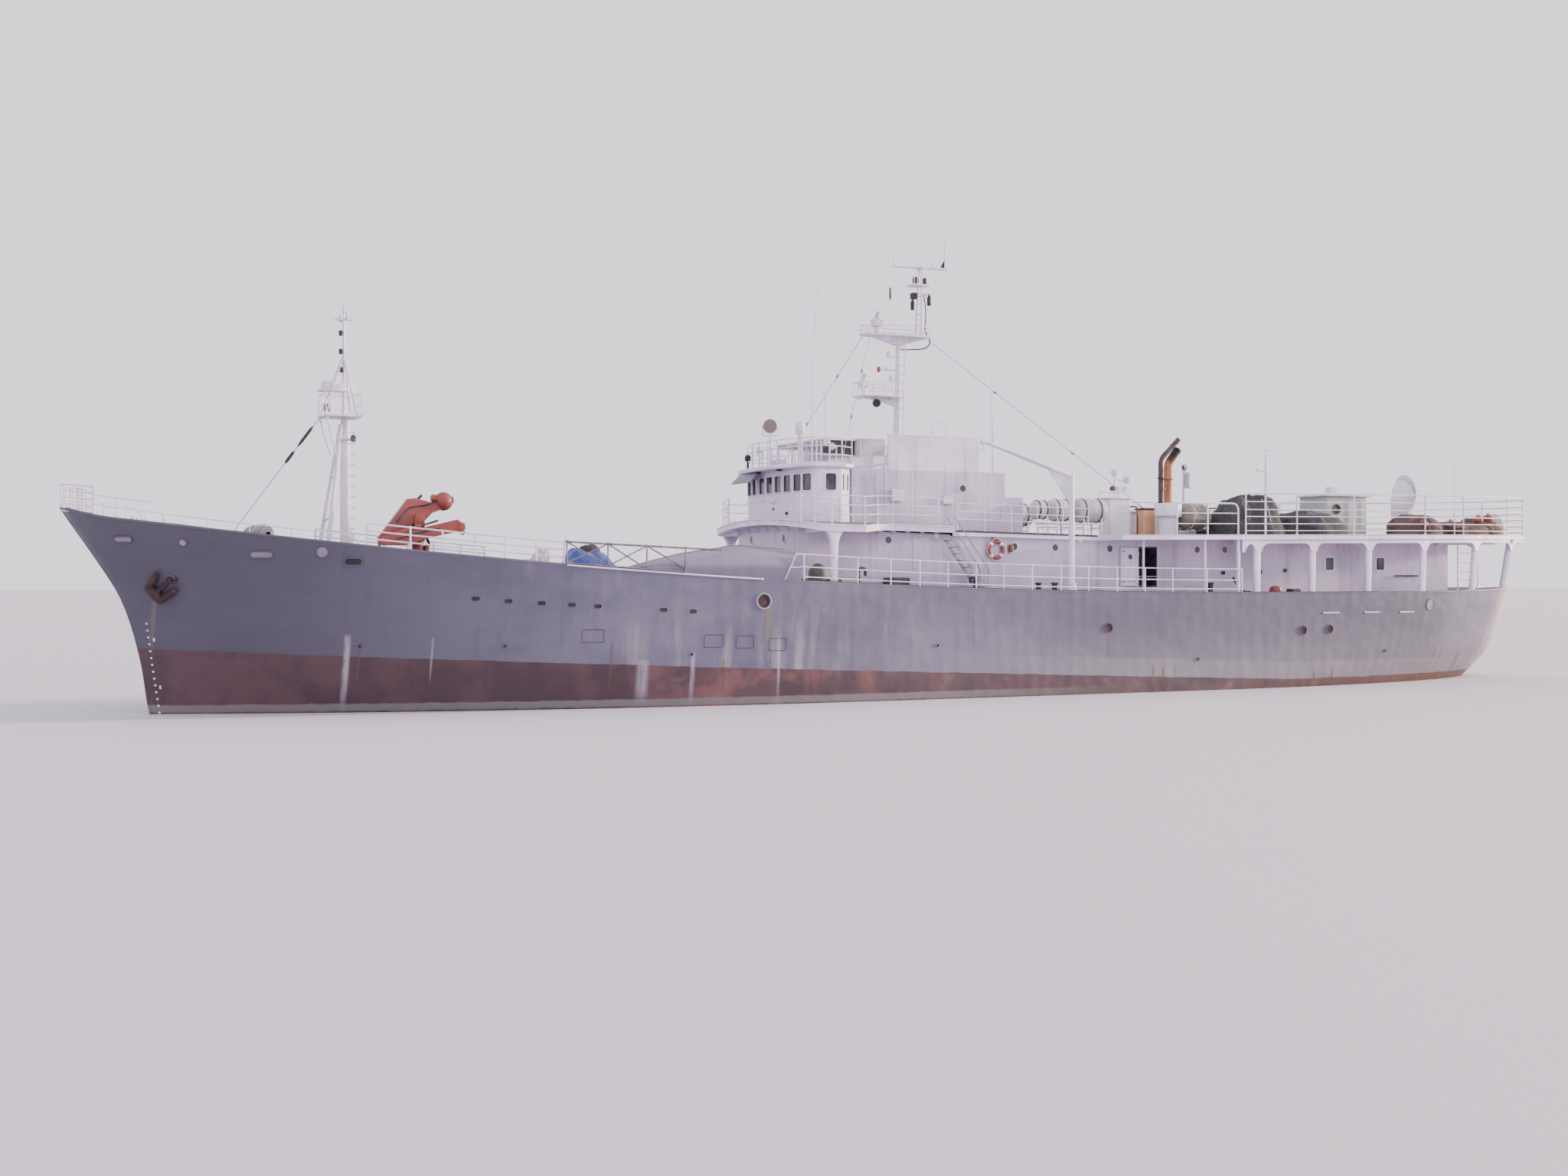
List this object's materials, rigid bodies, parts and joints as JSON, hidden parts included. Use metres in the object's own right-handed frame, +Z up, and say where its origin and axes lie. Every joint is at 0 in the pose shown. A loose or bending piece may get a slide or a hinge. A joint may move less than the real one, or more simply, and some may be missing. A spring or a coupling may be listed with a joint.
{
  "type": "half-scale model of a fishing vessel",
  "caption": "Steel sea-going fishing vessel afloat, half size: long hull, raked bow, midships wheelhouse, long aft house under a railed deck, masts, crane and davit.",
  "frame": {"origin": "on the centreline, amidships, at the water's surface", "axes": "+X towards the bow, +Y to port, +Z up"},
  "size_m": [30.7299, 4.635, 10.5],
  "materials": {
    "hull_paint": "weathered grey paint over a faded red-brown bottom, with rust streaks",
    "white_paint": "dull white paint, streaked with rust",
    "grey_steel": "dull galvanised or bare steel",
    "bronze": "dull bronze",
    "canvas": "faded canvas",
    "rusty_steel": "rusty and sooty",
    "red_paint": "worn red paint",
    "blue_cover": "blue tarpaulin",
    "net_cover": "dark tarpaulin and netting",
    "yellow_paint": "off-white and yellow paint",
    "buoy_orange": "orange with pale bands"
  },
  "bodies": {
    "ship": {"hull": "hull_paint", "bulwark_port": "hull_paint", "bulwark_starboard": "hull_paint", "bridge_deck": "white_paint", "upper_deck": "white_paint", "deckhouse": "white_paint", "stern_arcade": "white_paint", "wheelhouse": "white_paint", "wheelhouse_roof": "white_paint", "upper_house": "white_paint", "top_shelter": "white_paint", "sign_boards": "white_paint", "antenna_dome": "white_paint", "fore_rail": "white_paint", "main_rail_port": "white_paint", "main_rail_starboard": "white_paint", "bridge_rail_port": "white_paint", "bridge_rail_starboard": "white_paint", "stern_hut": "white_paint", "stern_rail": "white_paint", "top_rail": "white_paint", "fore_mast": "white_paint", "main_mast": "white_paint", "davit_socket": "white_paint", "liferafts_port": "white_paint", "liferafts_starboard": "white_paint", "vent_house": "white_paint", "vent_drum": "white_paint", "cowl_vent": "white_paint", "side_ladder": "white_paint", "wheelhouse_console": "grey_steel", "fore_mast_stay": "grey_steel", "main_stay_fore_port": "grey_steel", "main_stay_fore_starboard": "grey_steel", "main_stay_aft": "grey_steel", "windlass_base": "grey_steel", "gangway_truss": "grey_steel", "canvas_dodger": "canvas", "anchor_port": "rusty_steel", "anchor_starboard": "rusty_steel", "exhausts": "rusty_steel", "crane_base": "red_paint", "bundle_blue": "blue_cover", "bundle_net": "net_cover", "bundle_stern": "net_cover", "engine_casing": "yellow_paint", "lifebuoy": "buoy_orange"},
    "propeller": {"propeller": "bronze"},
    "rudder": {"rudder": "hull_paint"},
    "hatch_lid": {"hatch_lid": "white_paint"},
    "deck_door_port": {"deck_door_port": "white_paint"},
    "deck_door_starboard": {"deck_door_starboard": "white_paint"},
    "radar_lower": {"radar_lower": "white_paint"},
    "radar_upper": {"radar_upper": "white_paint"},
    "windlass_drums": {"windlass_drums": "grey_steel"},
    "crane_column": {"crane_column": "red_paint"},
    "crane_boom": {"crane_boom": "red_paint"},
    "crane_jib": {"crane_jib": "red_paint"},
    "davit": {"davit": "white_paint"}
  },
  "joints": [
    {"name": "propeller_spin", "type": "hinge", "parent": "ship", "child": "propeller", "pos_m": [-12.7, 0, -1.3], "axis": [1, 0, 0], "continuous": true},
    {"name": "rudder_turn", "type": "hinge", "parent": "ship", "child": "rudder", "pos_m": [-13.175, 0, -1.2], "axis": [0, 0, 1], "range_deg": [-35, 35]},
    {"name": "windlass_spin", "type": "hinge", "parent": "ship", "child": "windlass_drums", "pos_m": [12.35, 0, 2.825], "axis": [0, 1, 0], "continuous": true},
    {"name": "radar_lower_spin", "type": "hinge", "parent": "ship", "child": "radar_lower", "pos_m": [1.275, 0, 5.89], "axis": [0, 0, 1], "continuous": true},
    {"name": "radar_upper_spin", "type": "hinge", "parent": "ship", "child": "radar_upper", "pos_m": [0.99, 0, 7.065], "axis": [0, 0, 1], "continuous": true},
    {"name": "hatch_lid_hinge", "type": "hinge", "parent": "ship", "child": "hatch_lid", "pos_m": [5.775, 0, 1.925], "axis": [0, -1, 0], "range_deg": [0, 100]},
    {"name": "deck_door_port_hinge", "type": "hinge", "parent": "ship", "child": "deck_door_port", "pos_m": [-3.94, 1.465, 2.35], "axis": [0, 0, 1], "range_deg": [0, 180]},
    {"name": "deck_door_starboard_hinge", "type": "hinge", "parent": "ship", "child": "deck_door_starboard", "pos_m": [-3.94, -1.465, 2.35], "axis": [0, 0, 1], "range_deg": [0, 180]},
    {"name": "davit_swing", "type": "hinge", "parent": "ship", "child": "davit", "pos_m": [-1.925, 2.125, 3], "axis": [0, 0, 1], "range_deg": [0, 180]},
    {"name": "crane_slew", "type": "hinge", "parent": "ship", "child": "crane_column", "pos_m": [9.875, 0.5, 2.5], "axis": [0, 0, 1], "range_deg": [-170, 170]},
    {"name": "crane_boom_lift", "type": "hinge", "parent": "crane_column", "child": "crane_boom", "pos_m": [9.875, 0.5, 3.1], "axis": [0, -1, 0], "range_deg": [0, 75]},
    {"name": "crane_jib_fold", "type": "hinge", "parent": "crane_boom", "child": "crane_jib", "pos_m": [10.475, 0.5, 2.725], "axis": [0, 1, 0], "range_deg": [0, 150]}
  ]
}
